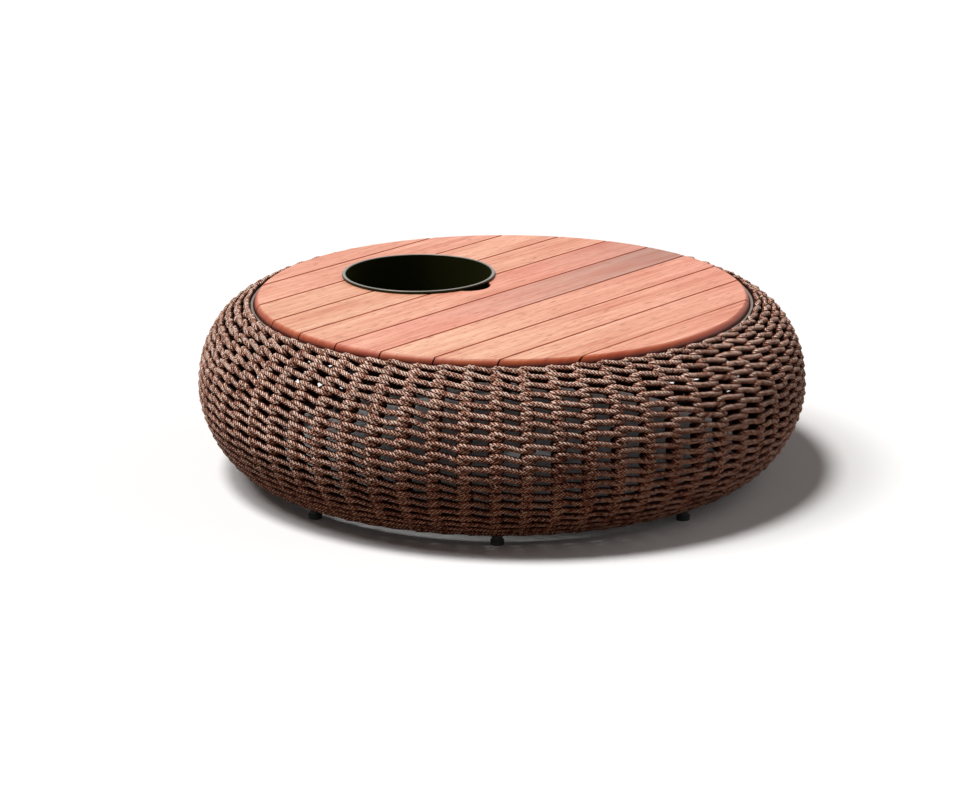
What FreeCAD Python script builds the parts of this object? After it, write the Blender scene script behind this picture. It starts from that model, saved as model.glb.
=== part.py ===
import FreeCAD
import Part

import math
import os

# A round, low coffee table for outdoors. A welded steel cage of curved ribs carries a rope
# wall, ten boards close the top, and a bucket for ice hangs in a hole near one edge.
# Millimetres. +Z is up, the origin is on the floor under the centre of the table, the
# boards run along X and the bucket stands on +Y.

# Overall form
BODY_RADIUS = 500.0
TOP_Z = 293.0
BELLY_Z = 143.5

# Outline of the rope wall: a superellipse quarter above the belly and one below it
UPPER_REACH, UPPER_RISE, UPPER_POWER = 197.7, 169.9, 2.3
LOWER_REACH, LOWER_DROP, LOWER_POWER = 92.3, 128.5, 1.7
WALL_TOP_DEG = 55.5
WALL_BOTTOM_DEG = 76.0
ROPE_DIA = 11.0

# Stretches of the wall, each between two bends of the ribs counted from the top
WALL_STRETCHES = {
    "woven_wall_shoulder": (0, 2),
    "woven_wall_belly": (2, 5),
    "woven_wall_underside": (5, 7),
}

# Boards
BOARD_COUNT = 10
TOP_RADIUS = 406.5
BOARD_PITCH = 84.6
BOARD_GAP = 2.0
BOARD_THICKNESS = 20.0
BOARD_ROUND = 7.0
BOARD_ROUND_BEVELS = 2
BOARD_CHAMFER = 0.8

# Bucket, its hole and the finger notch beside it
BUCKET_Y = 181.5
BUCKET_HOLE_RADIUS = 126.2
BUCKET_BASE_Z = 128.0
BUCKET_RADIUS = 124.2
BUCKET_CORNER = 6.0
BUCKET_WALL = 1.5
RIM_RADIUS = 128.9
RIM_THICKNESS = 4.7
RIM_BEVEL = 1.4
RIM_LIFT = 0.3
NOTCH_RADIUS = 38.5
NOTCH_OFFSET = 106.3

# Steel cage
RING_INNER_RADIUS = 408.0
RING_OUTER_RADIUS = 415.0
RING_TOP_Z = 285.5
RING_BOTTOM_Z = 261.0
BASE_RING_INNER_RADIUS = 402.5
BASE_RING_OUTER_RADIUS = 418.5
BASE_RING_BOTTOM_Z = 20.0
BASE_RING_TOP_Z = 36.0
RIB_COUNT = 64
RIB_GROUPS = 8
RIB_SIZE = 6.0
RIB_PHASE_DEG = 38.6
BENDS_ABOVE = 4
BENDS_BELOW = 3
WALL_TO_RIB = 0.2

# Bearers under the boards
TUBE_SIZE = 20.0
TUBE_WALL = 1.5
BEARER_X = 150.0
INNER_RAIL_Y = 22.0
BRACE_CLEARANCE = 130.0
BRACE_SIZE = 12.0
LUG_LENGTH = 26.0
LUG_WIDTH = 30.0
LUG_THICKNESS = 5.0
SCREW_HEAD = 8.0
SCREW_HEAD_HEIGHT = 3.0
SCREW_SHANK = 4.0
SCREW_BITE = 14.0

# Feet
FOOT_COUNT = 8
FOOT_CIRCLE_RADIUS = 410.5
FOOT_SIDES = 16
LEG_RADIUS = 8.5
GLIDE_RADIUS = 11.0
GLIDE_HEIGHT = 7.0

BOARD_BOTTOM_Z = TOP_Z - BOARD_THICKNESS
BUCKET_TOP_Z = TOP_Z + RIM_LIFT + RIM_THICKNESS
FRAME_REACH = BEARER_X - TUBE_SIZE / 2
OUTER_RAIL_Y = BUCKET_Y + BEARER_X
RIB_PITCH_DEG = 360.0 / RIB_COUNT

UP = FreeCAD.Vector(0, 0, 1)
ORIGIN = FreeCAD.Vector(0, 0, 0)
BUCKET_AXIS = FreeCAD.Vector(0, BUCKET_Y, 0)


def outline_point(angle_deg, inset=0.0):
    """Point (r, z) of the wall's outline, moved inwards along its normal by inset.

    The angle runs from 90 at the crown, through 0 at the belly, to -90 under the body.
    """
    if angle_deg >= 0:
        reach, rise, power = UPPER_REACH, UPPER_RISE, UPPER_POWER
        side = 1.0
    else:
        reach, rise, power = LOWER_REACH, LOWER_DROP, LOWER_POWER
        side = -1.0
    angle = math.radians(abs(angle_deg))
    across = math.cos(angle) ** (2.0 / power)
    along = math.sin(angle) ** (2.0 / power)
    normal_r = across ** (power - 1.0) / reach
    normal_z = side * along ** (power - 1.0) / rise
    length = math.hypot(normal_r, normal_z)
    r = BODY_RADIUS - reach * (1.0 - across) - inset * normal_r / length
    z = BELLY_Z + side * rise * along - inset * normal_z / length
    return r, z


def outline_run(inset, first=0, last=BENDS_ABOVE + BENDS_BELOW):
    """Points down the outline at the ribs' bends, from the first bend to the last."""
    angles = [WALL_TOP_DEG * (1.0 - k / BENDS_ABOVE) for k in range(BENDS_ABOVE)]
    angles += [-WALL_BOTTOM_DEG * k / BENDS_BELOW for k in range(BENDS_BELOW + 1)]
    return [outline_point(angle, inset) for angle in angles[first : last + 1]]


def turned_point(point, angle_deg):
    """A (r, z) point as a vector, turned about the table's axis."""
    angle = math.radians(angle_deg)
    return FreeCAD.Vector(point[0] * math.cos(angle), point[0] * math.sin(angle), point[1])


def closed_face(vectors):
    """Planar face inside a closed run of vectors."""
    return Part.Face(Part.makePolygon(vectors + vectors[:1]))


def revolved(points, axis_point=ORIGIN):
    """Solid of revolution about a vertical axis, from (r, z) points measured from that axis."""
    face = closed_face([turned_point(p, 0) for p in points])
    face.translate(axis_point)
    return face.revolve(axis_point, UP, 360)


def upright(outline, bottom, top):
    """Solid with upright sides, from (x, y) points and two heights."""
    face = closed_face([FreeCAD.Vector(x, y, bottom) for x, y in outline])
    return face.extrude(FreeCAD.Vector(0, 0, top - bottom))


def polygon(radius, sides, centre):
    """Corners (x, y) of a regular polygon on a circle."""
    corners = []
    for k in range(sides):
        angle = 2 * math.pi * k / sides
        corners.append((centre.x + radius * math.cos(angle), centre.y + radius * math.sin(angle)))
    return corners


def hoop(inner, outer, bottom, top):
    """Hoop of rectangular section about the table's axis."""
    return revolved([(inner, bottom), (outer, bottom), (outer, top), (inner, top)])


def make_base_ring():
    """Ring under the ribs, rolled in eight lengths that butt together over the feet."""
    section = closed_face(
        [
            turned_point(point, RIB_PHASE_DEG)
            for point in (
                (BASE_RING_INNER_RADIUS, BASE_RING_BOTTOM_Z),
                (BASE_RING_OUTER_RADIUS, BASE_RING_BOTTOM_Z),
                (BASE_RING_OUTER_RADIUS, BASE_RING_TOP_Z),
                (BASE_RING_INNER_RADIUS, BASE_RING_TOP_Z),
            )
        ]
    )
    length = section.revolve(ORIGIN, UP, 360 / FOOT_COUNT)
    lengths = []
    for k in range(FOOT_COUNT):
        turned = length.copy()
        turned.rotate(ORIGIN, UP, k * 360 / FOOT_COUNT)
        lengths.append(turned)
    return Part.makeCompound(lengths)


def disc(radius, bottom, top, centre=ORIGIN):
    """Upright cylinder between two heights."""
    base = FreeCAD.Vector(centre.x, centre.y, bottom)
    return Part.makeCylinder(radius, top - bottom, base, UP)


def make_wall_panel(section, start_deg, bays):
    """Part of the rope wall from one foot to the next, with one flat bay for each rib."""
    angles = [start_deg + bay * RIB_PITCH_DEG for bay in range(bays + 1)]
    facets = [
        closed_face([turned_point(point, angles[0]) for point in section]),
        closed_face([turned_point(point, angles[-1]) for point in section]),
    ]
    for left, right in zip(angles, angles[1:]):
        for near, far in zip(section, section[1:] + section[:1]):
            corners = [
                turned_point(near, left),
                turned_point(near, right),
                turned_point(far, right),
                turned_point(far, left),
            ]
            facets.append(closed_face(corners))
    shell = Part.Shell(facets)
    shell.sewShape()
    panel = Part.Solid(Part.Shell(shell.Faces))
    panel.fix(1e-6, 1e-6, 1e-6)
    return panel


def make_wall_stretch(first, last):
    """Stretch of the rope wall on the outside of the ribs, one rope thick, in eight panels."""
    outer = outline_run(0.0, first, last)
    inner = outline_run(ROPE_DIA, first, last)
    section = outer + inner[::-1]
    bays = RIB_COUNT // RIB_GROUPS
    panels = []
    for group in range(RIB_GROUPS):
        start_deg = RIB_PHASE_DEG + group * bays * RIB_PITCH_DEG
        panels.append(make_wall_panel(section, start_deg, bays))
    return Part.makeCompound(panels)


def on_ring(near, end, radius):
    """End of the straight run from near through end, where it meets a ring's radius."""
    share = (radius - near[0]) / (end[0] - near[0])
    return radius, near[1] + share * (end[1] - near[1])


def make_rib():
    """One rib in the XZ plane: square bar bent to the outline, welded to both rings."""
    sides = []
    for inset in (ROPE_DIA + WALL_TO_RIB, ROPE_DIA + WALL_TO_RIB + RIB_SIZE):
        side = outline_run(inset)
        side[0] = on_ring(side[1], side[0], RING_OUTER_RADIUS)
        side[-1] = on_ring(side[-2], side[-1], BASE_RING_OUTER_RADIUS)
        sides.append(side)
    face = closed_face([turned_point(p, 0) for p in sides[0] + sides[1][::-1]])
    face.translate(FreeCAD.Vector(0, -RIB_SIZE / 2, 0))
    return face.extrude(FreeCAD.Vector(0, RIB_SIZE, 0))


def make_rib_groups():
    """Eight groups of eight ribs, each group filling the bay between two feet."""
    rib = make_rib()
    per_group = RIB_COUNT // RIB_GROUPS
    groups = {}
    for group in range(RIB_GROUPS):
        ribs = []
        for k in range(per_group):
            turned = rib.copy()
            turned.rotate(ORIGIN, UP, RIB_PHASE_DEG + (group * per_group + k) * RIB_PITCH_DEG)
            ribs.append(turned)
        groups[f"ribs_bay_{group + 1}"] = Part.makeCompound(ribs)
    return groups


def square_tube(low, high):
    """Open square tube between two corners, along its longest side, under the boards."""
    size_x, size_y = high[0] - low[0], high[1] - low[1]
    tube = None
    for wall in (0.0, TUBE_WALL):
        trim_x = 0.0 if size_x > size_y else wall
        trim_y = wall if size_x > size_y else 0.0
        corner = FreeCAD.Vector(
            low[0] + trim_x,
            low[1] + trim_y,
            BOARD_BOTTOM_Z - TUBE_SIZE + wall,
        )
        bar = Part.makeBox(
            size_x - 2 * trim_x,
            size_y - 2 * trim_y,
            TUBE_SIZE - 2 * wall,
            corner,
        )
        tube = tube.cut(bar) if tube else bar
    return tube


def make_bearer(side):
    """Tube across all the boards, coped at both ends to the inside of the top ring."""
    middle, half = side * BEARER_X, TUBE_SIZE / 2
    tube = square_tube(
        (middle - half, -RING_INNER_RADIUS),
        (middle + half, RING_INNER_RADIUS),
    )
    return tube.common(disc(RING_INNER_RADIUS, RING_BOTTOM_Z - TUBE_SIZE, TOP_Z))


def make_rail(middle_y):
    """Short tube between the two bearers."""
    half = TUBE_SIZE / 2
    return square_tube((-FRAME_REACH, middle_y - half), (FRAME_REACH, middle_y + half))


def make_corner_braces():
    """Four flat bars set diagonally round the bucket, under the cut ends of the boards."""
    near = BRACE_CLEARANCE * math.sqrt(2)
    far = near + BRACE_SIZE * math.sqrt(2)
    rails = {
        "inner": INNER_RAIL_Y + TUBE_SIZE / 2 - BUCKET_Y,
        "outer": OUTER_RAIL_Y - TUBE_SIZE / 2 - BUCKET_Y,
    }
    braces = {}
    for place, rail in rails.items():
        y_side = math.copysign(1, rail)
        for hand, x_side in (("left", -1), ("right", 1)):
            outline = [
                (x_side * FRAME_REACH, BUCKET_Y + y_side * (near - FRAME_REACH)),
                (x_side * (near - abs(rail)), BUCKET_Y + rail),
                (x_side * (far - abs(rail)), BUCKET_Y + rail),
                (x_side * FRAME_REACH, BUCKET_Y + y_side * (far - FRAME_REACH)),
            ]
            braces[f"brace_{place}_{hand}"] = upright(
                outline, BOARD_BOTTOM_Z - BRACE_SIZE, BOARD_BOTTOM_Z
            )
    return braces


def lug_angles():
    """Angles of the lugs: both ends of every board but the two outermost."""
    middle_radius = RING_INNER_RADIUS - LUG_LENGTH / 2
    angles = []
    for index in range(1, BOARD_COUNT - 1):
        y = board_middle(index)
        right = math.degrees(math.asin(y / middle_radius))
        angles += [right, 180.0 - right]
    return angles


def make_board_lugs():
    """Small plates welded inside the top ring, which carry the ends of the boards."""
    half = LUG_WIDTH / 2
    outer = math.sqrt(RING_INNER_RADIUS ** 2 - half ** 2)
    plate = upright(
        [
            (RING_INNER_RADIUS - LUG_LENGTH, -half),
            (outer, -half),
            (outer, half),
            (RING_INNER_RADIUS - LUG_LENGTH, half),
        ],
        BOARD_BOTTOM_Z - LUG_THICKNESS,
        BOARD_BOTTOM_Z,
    )
    lugs = []
    for angle in lug_angles():
        lug = plate.copy()
        lug.rotate(ORIGIN, UP, angle)
        lugs.append(lug)
    return Part.makeCompound(lugs)


def board_middle(index):
    """Y of a board's middle line; the first board is the one beyond the bucket."""
    return (BOARD_COUNT / 2 - index - 0.5) * BOARD_PITCH


def board_disc():
    """The whole top as one disc: rounded edge, bucket hole and finger notch."""
    edge = []
    for k in range(BOARD_ROUND_BEVELS + 1):
        angle = math.radians(90.0 * k / BOARD_ROUND_BEVELS)
        edge.append(
            (
                TOP_RADIUS - BOARD_ROUND * (1.0 - math.cos(angle)),
                TOP_Z - BOARD_ROUND * (1.0 - math.sin(angle)),
            )
        )
    whole = revolved([(0, BOARD_BOTTOM_Z), (TOP_RADIUS, BOARD_BOTTOM_Z)] + edge + [(0, TOP_Z)])
    hole = disc(BUCKET_HOLE_RADIUS, BOARD_BOTTOM_Z - 1, TOP_Z + 1, BUCKET_AXIS)
    notch_centre = FreeCAD.Vector(0, BUCKET_Y - NOTCH_OFFSET, 0)
    notch = disc(NOTCH_RADIUS, BOARD_BOTTOM_Z - 1, TOP_Z + 1, notch_centre)
    return whole.cut(hole.fuse(notch))


def board_blank(index):
    """Long bar with eased upper edges, as wide as one board."""
    half = (BOARD_PITCH - BOARD_GAP) / 2
    low, high = board_middle(index) - half, board_middle(index) + half
    corners = [
        (low, BOARD_BOTTOM_Z),
        (high, BOARD_BOTTOM_Z),
        (high, TOP_Z - BOARD_CHAMFER),
        (high - BOARD_CHAMFER, TOP_Z),
        (low + BOARD_CHAMFER, TOP_Z),
        (low, TOP_Z - BOARD_CHAMFER),
    ]
    face = closed_face([FreeCAD.Vector(-BODY_RADIUS, y, z) for y, z in corners])
    return face.extrude(FreeCAD.Vector(2 * BODY_RADIUS, 0, 0))


def make_boards():
    """Ten boards cut from the round top; the two that meet the bucket are in two lengths."""
    whole = board_disc()
    boards = {}
    for index in range(BOARD_COUNT):
        pieces = whole.common(board_blank(index)).Solids
        pieces.sort(key=lambda solid: solid.CenterOfMass.x)
        name = f"board_{index + 1:02d}"
        if len(pieces) == 1:
            boards[name] = pieces[0]
        else:
            boards[f"{name}_left"], boards[f"{name}_right"] = pieces
    return boards


def make_screw(x, y, seat):
    """Hexagon-headed wood screw, driven upwards from its seat into a board."""
    centre = FreeCAD.Vector(x, y, 0)
    head = upright(polygon(SCREW_HEAD / 2, 6, centre), seat - SCREW_HEAD_HEIGHT, seat)
    shank = upright(polygon(SCREW_SHANK / 2, 4, centre), seat, BOARD_BOTTOM_Z + SCREW_BITE)
    return head.fuse(shank)


def make_board_screws():
    """Two screws in every board from the bearers, and one in each cut board from its lug."""
    screws = []
    lug_middle = RING_INNER_RADIUS - LUG_LENGTH / 2
    for index in range(BOARD_COUNT):
        y = board_middle(index)
        if index in (0, BOARD_COUNT - 1):
            y = math.copysign(abs(y) - BOARD_PITCH / 4, y)
        for side in (-1, 1):
            screws.append(make_screw(side * BEARER_X, y, BOARD_BOTTOM_Z - TUBE_SIZE))
            if index in (2, 3):
                x = side * math.sqrt(lug_middle ** 2 - y ** 2)
                screws.append(make_screw(x, y, BOARD_BOTTOM_Z - LUG_THICKNESS))
    return Part.makeCompound(screws)


def make_ice_bucket():
    """Deep round bucket with a thin wall and a bevelled bottom corner."""
    radius, corner, wall = BUCKET_RADIUS, BUCKET_CORNER, BUCKET_WALL
    bottom, top = BUCKET_BASE_Z, BUCKET_TOP_Z
    return revolved(
        [
            (0, bottom),
            (radius - corner, bottom),
            (radius, bottom + corner),
            (radius, top),
            (radius - wall, top),
            (radius - wall, bottom + corner),
            (radius - corner, bottom + wall),
            (0, bottom + wall),
        ],
        BUCKET_AXIS,
    )


def make_bucket_rim():
    """Bead clinched round the outside of the bucket's mouth, lapping over the boards."""
    low, high = BUCKET_TOP_Z - RIM_THICKNESS, BUCKET_TOP_Z
    return revolved(
        [
            (BUCKET_RADIUS, low),
            (RIM_RADIUS, low),
            (RIM_RADIUS, high - RIM_BEVEL),
            (RIM_RADIUS - RIM_BEVEL, high),
            (BUCKET_RADIUS, high),
        ],
        BUCKET_AXIS,
    )


def foot_places():
    """Centres of the feet, each under a rib."""
    places = []
    for k in range(FOOT_COUNT):
        angle = RIB_PHASE_DEG + k * 360.0 / FOOT_COUNT
        places.append(turned_point((FOOT_CIRCLE_RADIUS, 0), angle))
    return places


def make_feet(radius, bottom, top):
    """One upright post at every foot."""
    return Part.makeCompound(
        [upright(polygon(radius, FOOT_SIDES, place), bottom, top) for place in foot_places()]
    )


def make_all():
    """Every piece of the table by name."""
    nodes = {
        "top_ring": hoop(RING_INNER_RADIUS, RING_OUTER_RADIUS, RING_BOTTOM_Z, RING_TOP_Z),
        "base_ring": make_base_ring(),
        "bearer_left": make_bearer(-1),
        "bearer_right": make_bearer(1),
        "rail_inner": make_rail(INNER_RAIL_Y),
        "rail_outer": make_rail(OUTER_RAIL_Y),
        "board_lugs": make_board_lugs(),
        "board_screws": make_board_screws(),
        "ice_bucket": make_ice_bucket(),
        "bucket_rim": make_bucket_rim(),
        "legs": make_feet(LEG_RADIUS, GLIDE_HEIGHT, BASE_RING_BOTTOM_Z),
        "foot_glides": make_feet(GLIDE_RADIUS, 0, GLIDE_HEIGHT),
    }
    nodes.update({name: make_wall_stretch(*bends) for name, bends in WALL_STRETCHES.items()})
    nodes.update(make_rib_groups())
    nodes.update(make_corner_braces())
    nodes.update(make_boards())
    return nodes


os.makedirs("parts", exist_ok=True)
for node, shape in make_all().items():
    shape.exportStep(f"parts/{node}.step")
    print(node, len(shape.Solids), round(shape.Volume / 1000, 1), "cm3", shape.isValid())
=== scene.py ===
"""Low round coffee table for outdoors: rope wall, boarded top and an ice bucket that lifts out.

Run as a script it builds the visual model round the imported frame. Metres, +Z up, the origin on
the floor under the centre of the table. The boards run along X and the bucket stands on +Y.
"""

import math

import bpy
from bpy.props import FloatProperty, FloatVectorProperty, IntProperty, PointerProperty
from mathutils import Matrix, Vector


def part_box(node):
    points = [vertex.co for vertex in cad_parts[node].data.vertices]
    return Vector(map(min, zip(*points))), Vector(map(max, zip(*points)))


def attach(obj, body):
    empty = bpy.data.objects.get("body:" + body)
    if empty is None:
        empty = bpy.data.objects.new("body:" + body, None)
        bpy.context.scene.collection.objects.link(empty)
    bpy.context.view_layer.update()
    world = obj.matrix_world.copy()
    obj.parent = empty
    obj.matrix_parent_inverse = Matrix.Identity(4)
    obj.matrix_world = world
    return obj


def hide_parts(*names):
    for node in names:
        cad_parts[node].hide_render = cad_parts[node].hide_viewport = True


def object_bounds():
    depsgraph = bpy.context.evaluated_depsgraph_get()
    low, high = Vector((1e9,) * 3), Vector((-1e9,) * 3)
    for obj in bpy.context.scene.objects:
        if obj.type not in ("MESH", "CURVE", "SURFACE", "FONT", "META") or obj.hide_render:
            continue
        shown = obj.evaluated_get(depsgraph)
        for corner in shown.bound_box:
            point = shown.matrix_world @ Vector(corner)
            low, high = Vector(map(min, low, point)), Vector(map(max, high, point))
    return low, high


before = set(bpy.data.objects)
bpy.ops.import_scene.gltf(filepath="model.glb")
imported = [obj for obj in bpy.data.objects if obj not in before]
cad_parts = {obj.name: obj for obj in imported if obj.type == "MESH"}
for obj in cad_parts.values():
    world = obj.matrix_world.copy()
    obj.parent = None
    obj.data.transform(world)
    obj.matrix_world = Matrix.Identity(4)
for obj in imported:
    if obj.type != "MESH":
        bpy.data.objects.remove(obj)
CAD_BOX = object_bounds()

bl_info = {
    "name": "Ice bucket coffee table",
    "version": (1, 0, 0),
    "blender": (4, 5, 0),
    "location": "3D view > Sidebar > Ice table",
    "description": "Builds a rope-walled coffee table with an ice bucket in its boarded top",
    "category": "Object",
}

MM = 0.001
VIEW_DEGREES = 40.02  # the camera's heading, seen from above
BODY_RADIUS = CAD_BOX[1][0]
TOP_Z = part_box("board_06")[1][2]
BOARD_BOTTOM_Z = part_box("board_06")[0][2]
BUCKET_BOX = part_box("ice_bucket")
RIM_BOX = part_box("bucket_rim")
BUCKET_RADIUS = (BUCKET_BOX[1][0] - BUCKET_BOX[0][0]) / 2
BUCKET_Y = (BUCKET_BOX[0][1] + BUCKET_BOX[1][1]) / 2
BUCKET_CENTRE = (0.0, BUCKET_Y)
TOP_CENTRE = (0.0, 0.0)


def srgb(code):
    """Linear red, green and blue of an sRGB hex colour."""
    parts = [int(code[k : k + 2], 16) / 255 for k in (1, 3, 5)]
    return tuple(p / 12.92 if p <= 0.04045 else ((p + 0.055) / 1.055) ** 2.4 for p in parts)


def length_prop(name, description, default):
    """A length that the panel shows in the scene's unit."""
    return FloatProperty(
        name=name, description=description, default=default, unit="LENGTH", precision=4
    )


def count_prop(name, description, default):
    """A whole number of like things."""
    return IntProperty(name=name, description=description, default=default, min=2)


def angle_prop(name, description, degrees):
    """An angle, kept in radians."""
    return FloatProperty(
        name=name, description=description, default=math.radians(degrees), unit="ROTATION"
    )


def colour_prop(name, description, code):
    """A colour, given as an sRGB hex value."""
    return FloatVectorProperty(
        name=name,
        description=description,
        default=srgb(code),
        subtype="COLOR",
        size=3,
        min=0.0,
        max=1.0,
    )


class RopeWallSizes(bpy.types.PropertyGroup):
    """Sizes of the rope wall and of the outline that it follows."""

    rope_diameter: length_prop("Rope diameter", "Thickness of the braided rope", 10.0 * MM)
    rope_sides: count_prop("Rope sides", "Faces round the rope", 7)
    shoulder_rows: count_prop("Shoulder rows", "Rows above the belly", 6)
    belly_rows: count_prop("Belly rows", "Rows round the widest part", 8)
    underside_rows: count_prop("Underside rows", "Rows below the belly", 7)
    first_row: length_prop("First row", "Way down the outline to the first row", 11.9 * MM)
    row_pitch: length_prop("Row pitch", "Mean way from row to row", 16.3 * MM)
    rib_count: count_prop("Ribs", "Ribs round the body", 64)
    rib_phase: angle_prop("Rib phase", "Angle of the first rib from +X", 38.6)
    crown_tuck: length_prop("Crown tuck", "How far the first row is pulled in", 4.8 * MM)
    unevenness: length_prop("Unevenness", "How far hand weaving strays", 1.9 * MM)
    ring_clearance: length_prop("Ring clearance", "Rope's least radius by a ring", 417.8 * MM)
    crown_height: length_prop("Crown height", "The upper ring is above this", 250.0 * MM)
    foot_height: length_prop("Foot height", "The lower ring is below this", 42.0 * MM)
    upper_reach: length_prop("Upper reach", "Upper half-width of the outline", 197.7 * MM)
    upper_rise: length_prop("Upper rise", "Upper half-height of the outline", 169.9 * MM)
    upper_power: FloatProperty(name="Upper power", description="Squareness above", default=2.3)
    lower_reach: length_prop("Lower reach", "Lower half-width of the outline", 92.3 * MM)
    lower_drop: length_prop("Lower drop", "Lower half-height of the outline", 128.5 * MM)
    lower_power: FloatProperty(name="Lower power", description="Squareness below", default=1.7)
    belly_height: length_prop("Belly height", "Height of the widest row", 143.5 * MM)
    top_angle: angle_prop("Top angle", "Where the outline starts, above the belly", 58.0)
    bottom_angle: angle_prop("Bottom angle", "Where the outline ends, below the belly", -84.0)


class BoardSizes(bpy.types.PropertyGroup):
    """Sizes of the boarded top."""

    count: count_prop("Boards", "Boards across the top", 10)
    pitch: length_prop("Board pitch", "From one board's middle to the next", 84.6 * MM)
    gap: length_prop("Board gap", "Open groove between boards", 2.2 * MM)
    radius: length_prop("Top radius", "Radius of the round top", 406.5 * MM)
    round_over: length_prop("Round over", "Radius worked on the outer edge", 14.0 * MM)
    arris: angle_prop("Arris", "Turn at the line where the top meets the round over", 30.0)
    easing: length_prop("Easing", "Chamfer along the grooves", 1.2 * MM)
    hole_radius: length_prop("Hole radius", "Hole for the bucket", 126.2 * MM)
    notch_radius: length_prop("Notch radius", "Finger notch beside the bucket", 38.5 * MM)
    notch_offset: length_prop("Notch offset", "Notch's centre from the bucket's", 106.3 * MM)


class MetalSizes(bpy.types.PropertyGroup):
    """Sizes of the two steel rings and of the bucket."""

    crown_depth: length_prop("Crown depth", "From the upper ring's inside to its outside", 7.0 * MM)
    crown_width: length_prop("Crown width", "Width of that ring that the rope leaves", 4.6 * MM)
    crown_drop: length_prop("Crown drop", "How far the rope stands above that ring", 4.0 * MM)
    foot_width: length_prop("Foot ring width", "Width of the lower ring's bar", 16.0 * MM)
    wall: length_prop("Bucket wall", "Thickness of the bucket's sheet", 1.5 * MM)
    corner: length_prop("Bucket corner", "Bend between its wall and its floor", 6.0 * MM)
    tuck: length_prop("Bucket tuck", "How far the wall ends below the rim's top", 1.0 * MM)
    rim_round: length_prop("Rim rounding", "Corner radius of the rim", 2.2 * MM)
    rim_wear: length_prop("Rim wear", "Depth of bare steel on the rim's crest", 0.3 * MM)


class TableColours(bpy.types.PropertyGroup):
    """Colours of the finishes."""

    rope_light: colour_prop("Rope light", "Pale yarn of the rope", "#fee7d6")
    rope_mid: colour_prop("Rope mid", "Brown yarn of the rope", "#c98468")
    rope_dark: colour_prop("Rope dark", "Dark yarn of the rope", "#260e09")
    wood_peach: colour_prop("Wood peach", "Lighter oiled boards", "#ffcda9")
    wood_pink: colour_prop("Wood pink", "Pinker oiled boards", "#fdb69d")
    wood_brown: colour_prop("Wood brown", "Browner oiled boards", "#c49786")
    wood_late: colour_prop("Wood late", "What the darker streaks take from the light", "#cc9480")
    wood_pore: colour_prop("Wood pore", "Open pores", "#b87255")
    # The next two are painted shade, taken from the rounded edge and from the upright sides of the
    # grooves
    edge_shade: colour_prop("Wood edge", "What oil takes from the rounded edge", "#cc8250")
    groove_shade: colour_prop("Wood groove", "What oil takes from the upright sides", "#5c260c")
    ring_paint: colour_prop("Ring paint", "Powder coat of the upper frame", "#7f7267")
    cage_paint: colour_prop("Cage paint", "Powder coat of the cage", "#120f0d")
    enamel: colour_prop("Enamel", "Enamel of the bucket", "#26270f")
    steel: colour_prop("Steel", "Bare steel of the rim", "#8f897f")
    zinc: colour_prop("Zinc", "Plating of the screws", "#a5a6a5")
    plastic: colour_prop("Plastic", "Glides under the feet", "#161615")


def add(tree, kind, inputs=None, **settings):
    """Adds a node with its settings; inputs maps a socket's name or number to a value or link.

    A node given as a value stands for its first output in use.
    """
    node = tree.nodes.new(kind)
    for name, value in settings.items():
        setattr(node, name, value)
    for key, value in (inputs or {}).items():
        if isinstance(key, int):
            socket = node.inputs[key]
        else:
            socket = next(s for s in node.inputs if s.enabled and s.name == key)
        if isinstance(value, bpy.types.Node):
            value = next(s for s in value.outputs if s.enabled)
        if isinstance(value, bpy.types.NodeSocket):
            tree.links.new(value, socket)
        else:
            socket.default_value = value
    return node


MATH = "ShaderNodeMath"
VECTOR_MATH = "ShaderNodeVectorMath"
INTEGER_MATH = "FunctionNodeIntegerMath"


def linked(obj):
    """Puts a new object in the scene."""
    bpy.context.scene.collection.objects.link(obj)
    return obj


def mesh_object(name, vertices, faces=(), edges=(), sharp_degrees=None):
    """Object at the origin with its place in its mesh."""
    mesh = bpy.data.meshes.new(name)
    mesh.from_pydata(vertices, edges, faces)
    mesh.update()
    if faces:
        mesh.shade_smooth()
    if sharp_degrees is not None:
        mesh.set_sharp_from_angle(angle=math.radians(sharp_degrees))
    return linked(bpy.data.objects.new(name, mesh))


def finished(obj, material, slot, body, *replaced):
    """Gives a piece its finish and hangs it on the frame."""
    if material is not None:
        obj.data.materials.clear()
        obj.data.materials.append(material)
    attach(obj, body)
    if replaced:
        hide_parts(*replaced)
    return obj


def repaint(node, material):
    """Gives a CAD node its finish."""
    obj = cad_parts[node]
    obj.data.materials.clear()
    obj.data.materials.append(material)


def lathe(name, profile, centre=TOP_CENTRE, segments=160, sharp_degrees=35):
    """Closed ring or, where the profile starts and ends on the axis, a closed turned solid.

    The profile lists (radius, height) anticlockwise with the radius to the right, so that the
    faces point outwards.
    """
    vertices, rings = [], []
    for radius, height in profile:
        count = segments if radius > 1e-7 else 1
        rings.append(range(len(vertices), len(vertices) + count))
        for k in range(count):
            angle = 2 * math.pi * k / segments
            x = centre[0] + radius * math.cos(angle)
            y = centre[1] + radius * math.sin(angle)
            vertices.append((x, y, height))
    faces = []
    pairs = list(zip(rings, rings[1:]))
    if len(rings[0]) > 1:
        pairs.append((rings[-1], rings[0]))
    for low, high in pairs:
        for k in range(segments):
            n = (k + 1) % segments
            if len(low) == 1:
                faces.append((low[0], high[n], high[k]))
            elif len(high) == 1:
                faces.append((low[k], low[n], high[0]))
            else:
                faces.append((low[k], low[n], high[n], high[k]))
    return mesh_object(name, vertices, faces, sharp_degrees=sharp_degrees)


def arc(centre, radius, start, end, steps):
    """Points round a centre from one angle to another, ends included."""
    angles = [start + (end - start) * k / steps for k in range(steps + 1)]
    return [(centre[0] + radius * math.cos(a), centre[1] + radius * math.sin(a)) for a in angles]


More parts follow.
